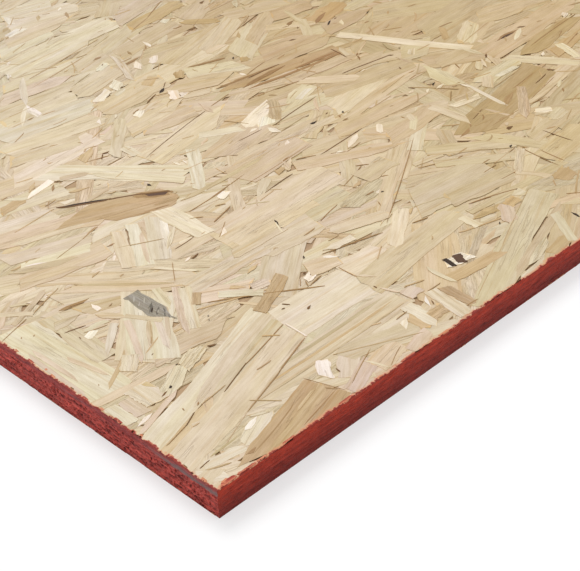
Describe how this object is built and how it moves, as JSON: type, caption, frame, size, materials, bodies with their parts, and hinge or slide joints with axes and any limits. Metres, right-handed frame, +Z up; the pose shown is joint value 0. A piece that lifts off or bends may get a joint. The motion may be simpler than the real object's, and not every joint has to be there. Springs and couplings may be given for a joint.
{
  "type": "oriented strand board panel",
  "caption": "Flat rectangular sheet of oriented strand board with square sawn edges sealed in red, for floors, walls and roof decks.",
  "frame": {"origin": "middle of the underside", "axes": "+X along the sheet's length, the way most face strands lie; +Y across its width; +Z up through its thickness"},
  "size_m": [2.44, 1.22, 0.018],
  "materials": {
    "strand_face": "pressed wood strands, bare",
    "edge_sealer": "sawn edges under a matt red sealing coat"
  },
  "bodies": {
    "root": {"panel": "strand_face"}
  },
  "joints": []
}
